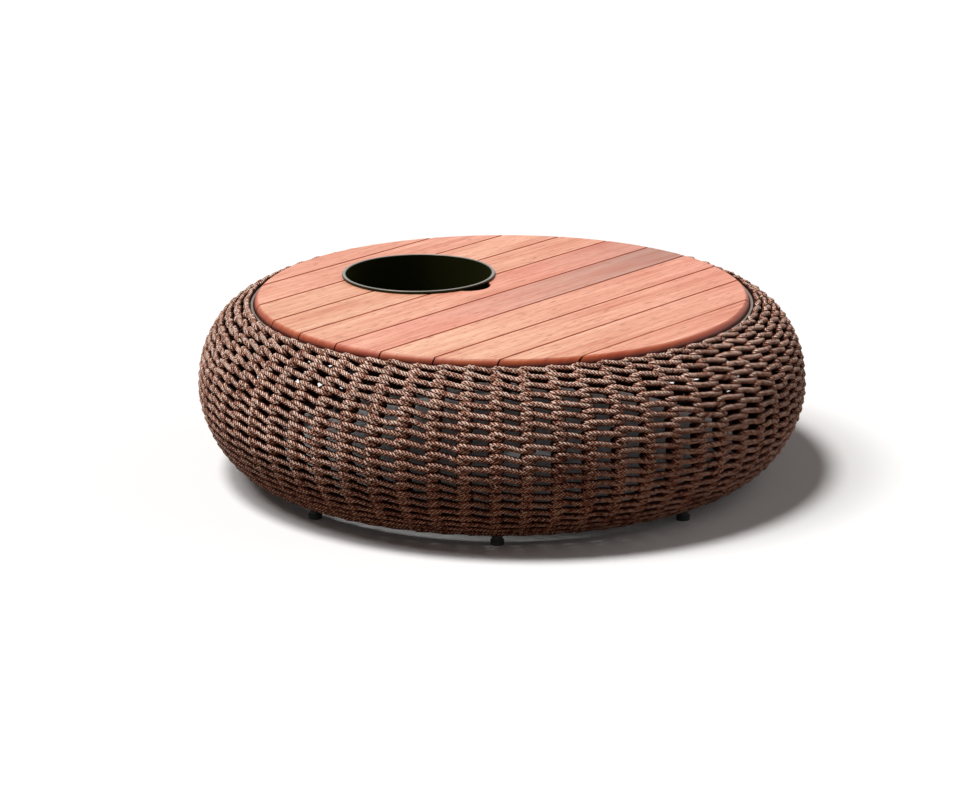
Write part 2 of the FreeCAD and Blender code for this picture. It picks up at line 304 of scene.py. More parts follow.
def rounded_box(inner, outer, bottom, top, radius, steps=3):
    """Profile of a rectangular section with rounded corners, for lathe."""
    corners = (
        (outer - radius, bottom + radius),
        (outer - radius, top - radius),
        (inner + radius, top - radius),
        (inner + radius, bottom + radius),
    )
    profile = []
    for quarter, corner in enumerate(corners):
        start = (quarter - 1) * math.pi / 2
        profile += arc(corner, radius, start, start + math.pi / 2, steps)
    return profile


def new_material(name):
    """Empty node material and its tree."""
    material = bpy.data.materials.new(name)
    material.use_nodes = True
    material.node_tree.nodes.clear()
    return material, material.node_tree


def opaque(colour):
    """RGBA of a linear colour."""
    return (*colour, 1.0)


def ramp(tree, factor, *stops):
    """Colour ramp node; each stop is (position, linear colour)."""
    node = add(tree, "ShaderNodeValToRGB", {"Fac": factor})
    elements = node.color_ramp.elements
    while len(elements) < len(stops):
        elements.new(0.5)
    for element, (position, colour) in zip(elements, stops):
        element.position = position
        element.color = opaque(colour)
    return node


def braided_rope(colours):
    """Braided polyester cord of mottled yarn.

    To the eye: pale slanting flecks over brown, with the joints between the strands and the rope's
    sides between the rows darkened as painted shade.
    The real strands are about 4 mm long, which is too fine to show, so they are drawn larger.
    """
    strand_length = 5.6 * MM
    strands_around = 6.0
    material, tree = new_material("Braided rope")
    place = add(tree, "ShaderNodeUVMap", uv_map="rope").outputs["UV"]
    parts = add(tree, "ShaderNodeSeparateXYZ", {"Vector": place})
    along = add(tree, MATH, {0: parts.outputs["X"], 1: 1.0 / strand_length}, operation="MULTIPLY")
    around = add(tree, MATH, {0: parts.outputs["Y"], 1: strands_around}, operation="MULTIPLY")
    leaning = add(tree, MATH, {0: along, 1: around}, operation="ADD")
    crossing = add(tree, MATH, {0: along, 1: around}, operation="SUBTRACT")
    # Each strand passes over two others and then under two, which makes slanting cells
    cell_a = add(tree, MATH, {0: leaning}, operation="FLOOR")
    cell_b = add(tree, MATH, {0: crossing}, operation="FLOOR")
    apart = add(tree, MATH, {0: cell_a, 1: cell_b}, operation="SUBTRACT")
    in_four = add(tree, MATH, {0: apart, 1: 4.0}, operation="FLOORED_MODULO")
    on_top = add(tree, MATH, {0: in_four, 1: 1.5}, operation="LESS_THAN")
    # Height across each family of strands, 0 at its edges and 1 on its middle line
    ridges = []
    for family in (leaning, crossing):
        share = add(tree, MATH, {0: family}, operation="FRACT")
        half_turn = add(tree, MATH, {0: share, 1: math.pi}, operation="MULTIPLY")
        ridges.append(add(tree, MATH, {0: half_turn}, operation="SINE"))
    ridge = add(tree, "ShaderNodeMix", {0: on_top, 2: ridges[1], 3: ridges[0]})
    strand = add(tree, "ShaderNodeMix", {0: on_top, 2: cell_b, 3: cell_a})
    yarn_id = add(tree, "ShaderNodeCombineXYZ", {0: strand, 1: on_top, 2: 0.0})
    yarn = add(tree, "ShaderNodeTexWhiteNoise", {"Vector": yarn_id})
    fleck_id = add(tree, "ShaderNodeCombineXYZ", {0: cell_a, 1: cell_b, 2: on_top})
    fleck = add(tree, "ShaderNodeTexWhiteNoise", {"Vector": fleck_id})
    mottled = add(
        tree, MATH, {0: yarn.outputs["Value"], 1: fleck.outputs["Value"]}, operation="ADD"
    )
    tone = add(tree, MATH, {0: mottled, 1: 0.42, 2: 0.38}, operation="MULTIPLY_ADD")
    # Painted shade: the yarn's mottled tone is darkened towards each strand's edges and left
    # lightest on its middle line
    tone_and_strand_shade = add(tree, MATH, {0: tone, 1: ridge}, operation="MULTIPLY")
    # Painted shade: the rope's faces that look out of the wall are left light, and its sides
    # between the rows are painted dark
    facing = add(tree, "ShaderNodeAttribute", attribute_name="facing")
    painted_row_shade = add(
        tree,
        "ShaderNodeMapRange",
        {"Value": facing.outputs["Fac"], "From Min": 0.1, "From Max": 0.8, "To Min": 0.3},
    )
    shaded = add(tree, MATH, {0: tone_and_strand_shade, 1: painted_row_shade}, operation="MULTIPLY")
    colour = ramp(
        tree, shaded, (0.3, colours.rope_dark), (0.54, colours.rope_mid), (0.8, colours.rope_light)
    )
    # Long patches where the yarn's lots differ
    coords = add(tree, "ShaderNodeTexCoord").outputs["Object"]
    lots = add(tree, "ShaderNodeTexNoise", {"Vector": coords, "Scale": 22.0, "Detail": 2.0})
    level = add(
        tree,
        "ShaderNodeMapRange",
        {"Value": lots.outputs["Fac"], "From Min": 0.3, "From Max": 0.7, "To Min": 0.82,
         "To Max": 1.12},
    )
    tinted = add(
        tree,
        "ShaderNodeMix",
        {0: 1.0, 6: colour.outputs["Color"], 7: level},
        data_type="RGBA",
        blend_type="MULTIPLY",
    )
    bump = add(tree, "ShaderNodeBump", {"Height": ridge, "Strength": 0.8, "Distance": 0.6 * MM})
    shader = add(
        tree, "ShaderNodeBsdfPrincipled",
        {"Base Color": tinted.outputs[2], "Roughness": 0.8, "Specular IOR Level": 0.1,
         "Normal": bump},
    )
    add(tree, "ShaderNodeOutputMaterial", {"Surface": shader})
    return material


def oiled_hardwood(colours):
    """Solid hardwood boards, planed along the grain, sanded and oiled.

    To the eye: pink-orange wood with fine darker pores and streaks along each board.
    """
    material, tree = new_material("Oiled hardwood")
    coords = add(tree, "ShaderNodeTexCoord").outputs["Object"]
    board = add(tree, "ShaderNodeAttribute", attribute_name="board")
    # Each board takes its grain from another place in the pattern
    number = board.outputs["Fac"]
    shift = add(tree, "ShaderNodeCombineXYZ", {0: number, 1: number, 2: 0.0})
    shifted = add(
        tree, VECTOR_MATH, {0: shift, 1: (3.7, 1.3, 0.0), 2: coords}, operation="MULTIPLY_ADD"
    )
    # Streaks are drawn out along X: about 0.25 m long and a few millimetres wide
    streak_place = add(tree, VECTOR_MATH, {0: shifted, 1: (5.0, 170.0, 60.0)}, operation="MULTIPLY")
    streaks = add(
        tree, "ShaderNodeTexNoise",
        {"Vector": streak_place, "Scale": 1.0, "Detail": 5.0, "Roughness": 0.6},
    )
    # Pores are short dark dashes, 0.3 mm wide in the wood and drawn 3 mm wide so that they show
    pore_place = add(tree, VECTOR_MATH, {0: shifted, 1: (35.0, 300.0, 120.0)}, operation="MULTIPLY")
    pores = add(
        tree, "ShaderNodeTexNoise",
        {"Vector": pore_place, "Scale": 1.0, "Detail": 2.0, "Roughness": 0.5},
    )
    pore_mask = add(
        tree, "ShaderNodeMapRange",
        {"Value": pores.outputs["Fac"], "From Min": 0.56, "From Max": 0.72},
    )
    # Broad figure, a hand wide and a forearm long
    figure_place = add(tree, VECTOR_MATH, {0: shifted, 1: (3.0, 22.0, 8.0)}, operation="MULTIPLY")
    figure = add(
        tree, "ShaderNodeTexNoise",
        {"Vector": figure_place, "Scale": 1.0, "Detail": 3.0, "Distortion": 0.4},
    )
    # Along a board the tone goes from one end's to the other's, in a ragged way; the boards differ
    # in their own tone, and the browner +X ends are also painted shade of light falling off to that
    # side
    lengthwise = add(tree, "ShaderNodeSeparateXYZ", {"Vector": coords}).outputs["X"]
    ragged = add(
        tree, MATH, {0: figure.outputs["Fac"], 1: 0.5, 2: lengthwise}, operation="MULTIPLY_ADD"
    )
    far = add(tree, "ShaderNodeMapRange", {"Value": ragged, "From Min": -0.05, "From Max": 0.6})
    tones = [
        add(tree, "ShaderNodeAttribute", attribute_name=name)
        for name in ("left_tone", "right_tone")
    ]
    tone = add(
        tree, "ShaderNodeMix", {0: far, 2: tones[0].outputs["Fac"], 3: tones[1].outputs["Fac"]}
    )
    base = ramp(
        tree, tone, (0.0, colours.wood_peach), (0.5, colours.wood_pink), (1.0, colours.wood_brown)
    )
    # Late wood is redder and darker, in streaks gathered by the figure
    mixed = add(tree, MATH, {0: streaks.outputs["Fac"], 1: figure.outputs["Fac"]}, operation="ADD")
    level = add(tree, "ShaderNodeMapRange", {"Value": mixed, "From Min": 0.65, "From Max": 1.35})
    late_wood = ramp(tree, level, (0.0, colours.wood_late), (1.0, srgb("#ffffff")))
    lit = add(
        tree, "ShaderNodeMix",
        {0: 1.0, 6: base.outputs["Color"], 7: late_wood.outputs["Color"]},
        data_type="RGBA", blend_type="MULTIPLY",
    )
    # 0 on the flat top and 1 on the upright sides
    normal = add(tree, "ShaderNodeTexCoord").outputs["Normal"]
    upward = add(tree, "ShaderNodeSeparateXYZ", {"Vector": normal}).outputs["Z"]
    side = add(tree, "ShaderNodeMapRange", {"Value": upward, "From Min": 0.93, "From Max": 0.15})
    flat = add(tree, MATH, {0: 1.0, 1: side}, operation="SUBTRACT")
    shown_pores = add(tree, MATH, {0: pore_mask, 1: flat}, operation="MULTIPLY")
    dark = add(
        tree, "ShaderNodeMix",
        {0: shown_pores, 6: lit.outputs[2], 7: opaque(colours.wood_pore)}, data_type="RGBA",
    )
    # Painted shade: the rounded edge and the upright sides of the grooves are tinted a deeper,
    # darker orange the more they turn from the top
    depth = ramp(
        tree, side, (0.0, srgb("#ffffff")), (0.3, colours.edge_shade), (1.0, colours.groove_shade)
    )
    side_shaded = add(
        tree, "ShaderNodeMix",
        {0: 1.0, 6: dark.outputs[2], 7: depth.outputs["Color"]},
        data_type="RGBA", blend_type="MULTIPLY",
    )
    grain = add(
        tree, MATH, {0: pore_mask, 1: -0.25, 2: streaks.outputs["Fac"]}, operation="MULTIPLY_ADD"
    )
    bump = add(tree, "ShaderNodeBump", {"Height": grain, "Strength": 0.25, "Distance": 0.3 * MM})
    shader = add(
        tree, "ShaderNodeBsdfPrincipled",
        {"Base Color": side_shaded.outputs[2], "Roughness": 0.48, "Specular IOR Level": 0.4,
         "Normal": bump},
    )
    add(tree, "ShaderNodeOutputMaterial", {"Surface": shader})
    return material


def even_finish(name, colour, roughness, grit_mm, relief, metallic=0.0, gleam=0.3):
    """Powder coat, enamel, plating, brushed steel or moulded plastic: one colour, a fine grit.

    To the eye: an even tint that drifts a little from place to place, and a soft broken gloss.
    """
    variation = 0.12
    material, tree = new_material(name)
    coords = add(tree, "ShaderNodeTexCoord").outputs["Object"]
    grit = add(
        tree, "ShaderNodeTexNoise", {"Vector": coords, "Scale": 1.0 / (grit_mm * MM), "Detail": 2.0}
    )
    cloud = add(tree, "ShaderNodeTexNoise", {"Vector": coords, "Scale": 9.0, "Detail": 3.0})
    low = tuple(c * (1 - variation) for c in colour)
    high = tuple(min(1.0, c * (1 + variation)) for c in colour)
    tint = ramp(tree, cloud.outputs["Fac"], (0.35, low), (0.65, high))
    gloss = add(
        tree, "ShaderNodeMapRange",
        {"Value": grit.outputs["Fac"], "To Min": roughness * 0.85, "To Max": roughness * 1.15},
    )
    bump = add(
        tree, "ShaderNodeBump",
        {"Height": grit.outputs["Fac"], "Strength": relief, "Distance": grit_mm * MM * 0.2},
    )
    shader = add(
        tree, "ShaderNodeBsdfPrincipled",
        {"Base Color": tint.outputs["Color"], "Roughness": gloss, "Metallic": metallic,
         "Specular IOR Level": gleam, "Normal": bump},
    )
    add(tree, "ShaderNodeOutputMaterial", {"Surface": shader})
    return material


def outline_vertices(sizes, count=160):
    """Points down the wall's outline, in the XZ plane."""
    points = []
    for k in range(count):
        angle = sizes.top_angle + (sizes.bottom_angle - sizes.top_angle) * k / (count - 1)
        above = angle >= 0
        reach = sizes.upper_reach if above else sizes.lower_reach
        rise = sizes.upper_rise if above else -sizes.lower_drop
        power = sizes.upper_power if above else sizes.lower_power
        across = math.cos(angle) ** (2 / power)
        along = abs(math.sin(angle)) ** (2 / power)
        points.append((BODY_RADIUS - reach * (1 - across), 0.0, sizes.belly_height + rise * along))
    return points


def stitch_vertices(sizes):
    """One wrap of rope round a rib, as (to the right, up the outline, out of the outline).

    The rope comes from behind on the rib's left, bulges over it, slopes down across the bay,
    dives at the right of the next rib and goes back behind that one.
    """
    points = (
        (-8.0, 3.0, -17.5),
        (-8.6, 3.9, -10.0),
        (-6.6, 4.3, -5.0),
        (-0.5, 4.2, -2.8),
        (10.5, 2.9, -3.4),
        (23.0, 0.8, -4.2),
        (35.0, -1.5, -4.4),
        (46.0, -3.3, -4.4),
        (54.2, -4.1, -5.8),
        (57.6, -4.0, -11.0),
        (56.2, -2.8, -18.4),
        (48.0, 0.4, -22.3),
    )
    scale = sizes.rope_diameter / (10.2 * MM)
    return [(u * MM, v * MM * scale, w * MM * scale) for u, v, w in points]


def rope_tree():
    """Geometry Nodes: rows of rope on an outline, each row one rope wrapped round every rib."""
    tree = bpy.data.node_groups.new("Rope rows", "GeometryNodeTree")
    sockets = {
        "Geometry": ("Outline",),
        "Object": ("Stitch",),
        "Int": ("Stitch Points", "Rope Sides", "First Row", "Rows", "Ribs"),
        "Float": (
            "Rope Diameter", "Start", "Row Pitch", "Rib Phase", "Body Radius", "Ring Clearance",
            "Crown Height", "Foot Height", "Crown Tuck", "Unevenness", "Seed",
        ),
        "Material": ("Material",),
    }
    for kind, names in sockets.items():
        for name in names:
            tree.interface.new_socket(name, in_out="INPUT", socket_type=f"NodeSocket{kind}")
    tree.interface.new_socket("Geometry", in_out="OUTPUT", socket_type="NodeSocketGeometry")
    given = add(tree, "NodeGroupInput").outputs

    # Which row, rib and point of the stitch each point is
    per_row = add(
        tree, INTEGER_MATH, {0: given["Ribs"], 1: given["Stitch Points"]}, operation="MULTIPLY"
    )
    count = add(tree, INTEGER_MATH, {0: per_row, 1: given["Rows"]}, operation="MULTIPLY")
    index = add(tree, "GeometryNodeInputIndex")
    own_row = add(tree, INTEGER_MATH, {0: index, 1: per_row}, operation="DIVIDE_FLOOR")
    in_row = add(tree, INTEGER_MATH, {0: index, 1: per_row}, operation="MODULO")
    rib = add(tree, INTEGER_MATH, {0: in_row, 1: given["Stitch Points"]}, operation="DIVIDE_FLOOR")
    step = add(tree, INTEGER_MATH, {0: in_row, 1: given["Stitch Points"]}, operation="MODULO")
    row = add(tree, INTEGER_MATH, {0: own_row, 1: given["First Row"]}, operation="ADD")

    # Way down the outline
    way = add(
        tree, MATH, {0: row, 1: given["Row Pitch"], 2: given["Start"]}, operation="MULTIPLY_ADD"
    )
    # The first rows are pulled up and in towards the upper ring, each less than the one before
    loss_per_row = -0.36
    later = add(tree, MATH, {0: row, 1: loss_per_row, 2: 1.0}, operation="MULTIPLY_ADD")
    pull = add(tree, MATH, {0: later, 1: 0.0}, operation="MAXIMUM")
    tuck = add(tree, MATH, {0: pull, 1: given["Crown Tuck"]}, operation="MULTIPLY")
    way = add(tree, MATH, {0: way, 1: tuck}, operation="SUBTRACT")
    outline = add(tree, "GeometryNodeMeshToCurve", {"Mesh": given["Outline"]})
    on_outline = add(
        tree, "GeometryNodeSampleCurve", {"Curves": outline, "Length": way}, mode="LENGTH"
    )
    place = add(tree, "ShaderNodeSeparateXYZ", {0: on_outline.outputs["Position"]})
    down = add(tree, "ShaderNodeSeparateXYZ", {0: on_outline.outputs["Tangent"]})

    # The stitch's own shape
    stitch_info = add(tree, "GeometryNodeObjectInfo", {"Object": given["Stitch"]})
    position = add(tree, "GeometryNodeInputPosition")
    stitch = add(
        tree, "GeometryNodeSampleIndex",
        {"Geometry": stitch_info.outputs["Geometry"], "Value": position, "Index": step},
        data_type="FLOAT_VECTOR",
    )
    part = add(tree, "ShaderNodeSeparateXYZ", {0: stitch})

    # Where it is round the body
    rib_turn = add(tree, MATH, {0: 2 * math.pi, 1: given["Ribs"]}, operation="DIVIDE")
    rib_angle = add(
        tree, MATH, {0: rib, 1: rib_turn, 2: given["Rib Phase"]}, operation="MULTIPLY_ADD"
    )
    side_angle = add(
        tree, MATH, {0: part.outputs["X"], 1: given["Body Radius"]}, operation="DIVIDE"
    )
    angle = add(tree, MATH, {0: rib_angle, 1: side_angle}, operation="ADD")
    cosine = add(tree, MATH, {0: angle}, operation="COSINE")
    sine = add(tree, MATH, {0: angle}, operation="SINE")

    # Hand weaving strays up and down: a row follows the one above it, rib by rib
    stray_round = 9.0
    stray_down = 0.22
    heading = add(tree, "ShaderNodeCombineXYZ", {0: cosine, 1: sine})
    spread = add(tree, VECTOR_MATH, {0: heading, 3: stray_round}, operation="SCALE")
    depth = add(tree, MATH, {0: row, 1: stray_down, 2: given["Seed"]}, operation="MULTIPLY_ADD")
    lower = add(tree, "ShaderNodeCombineXYZ", {2: depth})
    spot = add(tree, VECTOR_MATH, {0: spread, 1: lower}, operation="ADD")
    wander = add(tree, "ShaderNodeTexNoise", {"Vector": spot, "Scale": 1.0, "Detail": 2.0})
    centred = add(tree, MATH, {0: wander.outputs["Fac"], 1: 0.5}, operation="SUBTRACT")
    # The noise strays by about an eighth
    wide = add(tree, MATH, {0: given["Unevenness"], 1: 8.0}, operation="MULTIPLY")
    rise = add(tree, MATH, {0: centred, 1: wide, 2: part.outputs["Y"]}, operation="MULTIPLY_ADD")
    out = add(tree, MATH, {0: part.outputs["Z"], 1: tuck}, operation="SUBTRACT")

    # Up the outline is against its tangent, and outwards is square to that
    up_r = add(tree, MATH, {0: rise, 1: down.outputs["X"]}, operation="MULTIPLY")
    out_r = add(tree, MATH, {0: out, 1: down.outputs["Z"]}, operation="MULTIPLY")
    both_r = add(tree, MATH, {0: up_r, 1: out_r}, operation="ADD")
    radius = add(tree, MATH, {0: place.outputs["X"], 1: both_r}, operation="SUBTRACT")
    up_z = add(tree, MATH, {0: rise, 1: down.outputs["Z"]}, operation="MULTIPLY")
    out_z = add(tree, MATH, {0: out, 1: down.outputs["X"]}, operation="MULTIPLY")
    both_z = add(tree, MATH, {0: out_z, 1: up_z}, operation="SUBTRACT")
    height = add(tree, MATH, {0: place.outputs["Z"], 1: both_z}, operation="ADD")
    # Beside the two rings the rope passes outside them
    high = add(tree, MATH, {0: height, 1: given["Crown Height"]}, operation="GREATER_THAN")
    low = add(tree, MATH, {0: height, 1: given["Foot Height"]}, operation="LESS_THAN")
    beside = add(tree, MATH, {0: high, 1: low}, operation="MAXIMUM")
    least = add(tree, MATH, {0: beside, 1: given["Ring Clearance"]}, operation="MULTIPLY")
    kept = add(tree, MATH, {0: radius, 1: least}, operation="MAXIMUM")

    x = add(tree, MATH, {0: kept, 1: cosine}, operation="MULTIPLY")
    y = add(tree, MATH, {0: kept, 1: sine}, operation="MULTIPLY")
    point = add(tree, "ShaderNodeCombineXYZ", {0: x, 1: y, 2: height})

    # Which way is out of the wall at each point
    inward = add(tree, MATH, {0: down.outputs["Z"], 1: -1.0}, operation="MULTIPLY")
    out_x = add(tree, MATH, {0: inward, 1: cosine}, operation="MULTIPLY")
    out_y = add(tree, MATH, {0: inward, 1: sine}, operation="MULTIPLY")
    outward = add(tree, "ShaderNodeCombineXYZ", {0: out_x, 1: out_y, 2: down.outputs["X"]})

    points = add(tree, "GeometryNodePoints", {"Count": count, "Position": point})
    facing_out = add(
        tree, "GeometryNodeStoreNamedAttribute",
        {"Geometry": points, "Name": "outward", "Value": outward},
        data_type="FLOAT_VECTOR",
    )
    ropes = add(
        tree, "GeometryNodePointsToCurves", {"Points": facing_out, "Curve Group ID": own_row}
    )
    closed = add(tree, "GeometryNodeSetSplineCyclic", {"Geometry": ropes, "Cyclic": True})
    level = add(tree, "GeometryNodeSetCurveNormal", {"Curve": closed}, mode="Z_UP")
    along = add(tree, "GeometryNodeSplineParameter")
    named_rope = add(
        tree, "GeometryNodeStoreNamedAttribute",
        {"Geometry": level, "Name": "along", "Value": along.outputs["Length"]},
    )
    half = add(tree, MATH, {0: given["Rope Diameter"], 1: 0.5}, operation="MULTIPLY")
    circle = add(
        tree, "GeometryNodeCurvePrimitiveCircle",
        {"Resolution": given["Rope Sides"], "Radius": half},
    )
    around = add(tree, "GeometryNodeSplineParameter")
    named_circle = add(
        tree, "GeometryNodeStoreNamedAttribute",
        {"Geometry": circle, "Name": "around", "Value": around.outputs["Factor"]},
    )
    tube = add(
        tree, "GeometryNodeCurveToMesh",
        {"Curve": named_rope, "Profile Curve": named_circle, "Fill Caps": False},
    )
    # How far each point of the rope's skin looks out of the wall, which the rope's material turns
    # into painted shade
    skin = add(tree, "GeometryNodeInputNormal")
    wall = add(
        tree, "GeometryNodeInputNamedAttribute", {"Name": "outward"}, data_type="FLOAT_VECTOR"
    )
    looks = add(tree, VECTOR_MATH, {0: skin, 1: wall.outputs["Attribute"]}, operation="DOT_PRODUCT")
    tube = add(
        tree, "GeometryNodeStoreNamedAttribute",
        {"Geometry": tube, "Name": "facing", "Value": looks.outputs["Value"]},
    )
    run, turned = [
        add(tree, "GeometryNodeInputNamedAttribute", {"Name": name}).outputs[0]
        for name in ("along", "around")
    ]
    # On the faces that close the rope's skin the pattern runs on, where the turn starts again
    mean = add(tree, "GeometryNodeFieldOnDomain", {"Value": turned}, domain="FACE")
    beyond = add(tree, MATH, {0: mean, 1: turned}, operation="SUBTRACT")
    wraps = add(tree, MATH, {0: beyond, 1: 0.3}, operation="GREATER_THAN")
    whole_turn = add(tree, MATH, {0: turned, 1: wraps}, operation="ADD")
    uv = add(tree, "ShaderNodeCombineXYZ", {0: run, 1: whole_turn, 2: 0.0})
    mapped = add(
        tree, "GeometryNodeStoreNamedAttribute",
        {"Geometry": tube, "Name": "rope", "Value": uv}, data_type="FLOAT2", domain="CORNER",
    )
    smooth = add(tree, "GeometryNodeSetShadeSmooth", {"Geometry": mapped, "Shade Smooth": True})
    plain = smooth
    for name in ("along", "around", "outward"):
        plain = add(tree, "GeometryNodeRemoveAttribute", {"Geometry": plain, "Name": name})
    real = add(tree, "GeometryNodeRealizeInstances", {"Geometry": plain})
    painted = add(
        tree, "GeometryNodeSetMaterial", {"Geometry": real, "Material": given["Material"]}
    )
    add(tree, "NodeGroupOutput", {0: painted})
    return tree


def grown(name, base, tree, values):
    """Plain mesh that a Geometry Nodes tree makes of a base object."""
    modifier = base.modifiers.new(tree.name, "NODES")
    modifier.node_group = tree
    for item in tree.interface.items_tree:
        if item.in_out == "INPUT" and item.name in values:
            modifier[item.identifier] = values[item.name]
    graph = bpy.context.evaluated_depsgraph_get()
    mesh = bpy.data.meshes.new_from_object(base.evaluated_get(graph), depsgraph=graph)
    base.modifiers.clear()
    mesh.name = name
    return linked(bpy.data.objects.new(name, mesh))


def board_middle(sizes, index):
    """Y of a board's middle line; the first board is the one beyond the bucket."""
    return (sizes.count / 2 - index - 0.5) * sizes.pitch


def board_outlines(sizes, index, shrink, ease):
    """Outlines (x, y) of the board's pieces, anticlockwise, at one height.

    The outer edge is moved in by shrink and every other edge by ease.
    """
    half = (sizes.pitch - sizes.gap) / 2
    low = board_middle(sizes, index) - half + ease
    high = board_middle(sizes, index) + half - ease
    outer = sizes.radius - shrink
    hole = sizes.hole_radius + ease
    right_low = math.asin(max(-1.0, low / outer))
    right_high = math.asin(min(1.0, high / outer))
    if index == 0:
        return [arc(TOP_CENTRE, outer, right_low, math.pi - right_low, 72)]
    if index == sizes.count - 1:
        return [arc(TOP_CENTRE, outer, -math.pi - right_high, right_high, 72)]
    right = arc(TOP_CENTRE, outer, right_low, right_high, 16)
    left = [(-x, y) for x, y in reversed(right)]
    to_low, to_high = low - BUCKET_Y, high - BUCKET_Y
    if abs(to_low) < hole and abs(to_high) < hole:
        down = arc(BUCKET_CENTRE, hole, math.asin(to_high / hole), math.asin(to_low / hole), 24)
        piece = right + down
        return [[(-x, y) for x, y in reversed(piece)], piece]
    if abs(to_low) < hole:
        start = math.asin(to_low / hole)
        return [right + left + arc(BUCKET_CENTRE, hole, math.pi - start, start, 40)]
    if abs(to_high) < hole:
        notch_centre = (0.0, BUCKET_Y - sizes.notch_offset)
        notch = sizes.notch_radius + ease
        # Where the notch's circle crosses the hole's
        cross = (sizes.notch_offset**2 + hole**2 - notch**2) / (2 * sizes.notch_offset)
        cross_x = math.sqrt(hole**2 - cross**2)
        meet = math.atan2(-cross, cross_x)
        notch_meet = math.atan2(sizes.notch_offset - cross, cross_x)
        start = math.asin(to_high / hole)
        cut = arc(BUCKET_CENTRE, hole, start, meet, 12)
        cut += arc(notch_centre, notch, notch_meet, -math.pi - notch_meet, 32)[1:-1]
        cut += arc(BUCKET_CENTRE, hole, -math.pi - meet, -math.pi - start, 12)
        return [right + cut + left]
    return [right + left]


def board_levels(sizes):
    """(height, shrink, ease) up the side of a board, with a rounded outer edge."""
    levels = [(BOARD_BOTTOM_Z, 0.5 * MM, 0.5 * MM), (BOARD_BOTTOM_Z + 0.5 * MM, 0.0, 0.0)]
    steps = 7
    for k in range(steps):
        angle = (math.pi / 2 - sizes.arris) * k / (steps - 1)
        height = TOP_Z - sizes.round_over * (math.cos(sizes.arris) - math.sin(angle))
        ease = max(0.0, sizes.easing - (TOP_Z - height))
        levels.append((height, sizes.round_over * (1 - math.cos(angle)), ease))
    return levels


def loft(name, rings):
    """Closed solid through outlines of equal count, with flat ends."""
    vertices = [point for ring in rings for point in ring]
    count = len(rings[0])
    faces = [tuple(reversed(range(count)))]
    for level in range(len(rings) - 1):
        base = level * count
        for k in range(count):
            n = (k + 1) % count
            faces.append((base + k, base + n, base + count + n, base + count + k))
    top = (len(rings) - 1) * count
    faces.append(tuple(range(top, top + count)))
    return mesh_object(name, vertices, faces, sharp_degrees=30)


def mark(obj, **values):
    """Stores one number all over a piece, for its material to read."""
    for name, value in values.items():
        attribute = obj.data.attributes.new(name, "FLOAT", "POINT")
        attribute.data.foreach_set("value", [value] * len(obj.data.vertices))


class TableOperator:
    """What every operator here shares."""

    bl_options = {"REGISTER", "UNDO"}


class ICETABLE_OT_rope_wall(TableOperator, bpy.types.Operator):
    """Weave the rope wall round the ribs"""

    bl_idname = "icetable.rope_wall"
    bl_label = "Rope wall"

    def execute(self, context):
        sizes = context.scene.ice_table_rope
        material = braided_rope(context.scene.ice_table_colours)
        tree = rope_tree()
        outline = outline_vertices(sizes)
        base = mesh_object("outline", outline, edges=[(k, k + 1) for k in range(len(outline) - 1)])
        stitch_points = stitch_vertices(sizes)
        stitch = mesh_object("stitch", stitch_points)
        values = {
            "Stitch": stitch,
            "Stitch Points": len(stitch_points),
            "Rope Diameter": sizes.rope_diameter,
            "Rope Sides": sizes.rope_sides,
            "Start": sizes.first_row,
            "Row Pitch": sizes.row_pitch,
            "Ribs": sizes.rib_count,
            "Rib Phase": sizes.rib_phase,
            "Body Radius": BODY_RADIUS,
            "Ring Clearance": sizes.ring_clearance,
            "Crown Height": sizes.crown_height,
            "Foot Height": sizes.foot_height,
            "Crown Tuck": sizes.crown_tuck,
            "Unevenness": sizes.unevenness,
            "Seed": 7.0,
            "Material": material,
        }
        first = 0
        for stretch in ("shoulder", "belly", "underside"):
            rows = getattr(sizes, f"{stretch}_rows")
            own = {**values, "First Row": first, "Rows": rows}
            rope = grown(f"rope_{stretch}", base, tree, own)
            finished(rope, None, "braided_rope", "table", f"woven_wall_{stretch}")
            first += rows
        for helper in (base, stitch):
            bpy.data.objects.remove(helper)
        return {"FINISHED"}


class ICETABLE_OT_boards(TableOperator, bpy.types.Operator):
    """Cut the ten boards of the round top"""

    bl_idname = "icetable.boards"
    bl_label = "Boards"

    def execute(self, context):
        sizes = context.scene.ice_table_boards
        material = oiled_hardwood(context.scene.ice_table_colours)
        levels = board_levels(sizes)
        # Tone at the left and right ends of each board, peach at 0, pink at 0.5, brown at 1; the
        # browner right (+X) ends are partly painted shade
        tones = (
            (0.35, 0.35), (0.3, 0.4), (0.05, 0.25), (0.05, 0.25), (0.15, 0.7),
            (0.4, 1.0), (0.1, 0.45), (0.1, 0.45), (0.05, 0.45), (0.35, 0.35),
        )
        for index in range(sizes.count):
            stacks = [board_outlines(sizes, index, shrink, ease) for _z, shrink, ease in levels]
            pieces = len(stacks[0])
            for piece in range(pieces):
                suffix = "" if pieces == 1 else ("_left", "_right")[piece]
                node = f"board_{index + 1:02d}{suffix}"
                rings = [
                    [(x, y, level[0]) for x, y in stack[piece]]
                    for level, stack in zip(levels, stacks)
                ]
                board = loft(f"plank_{index + 1:02d}{suffix}", rings)
                left, right = tones[index % len(tones)]
                mark(board, board=float(index + 1), left_tone=left, right_tone=right)
                finished(board, material, "oiled_hardwood", "table", node)
        return {"FINISHED"}


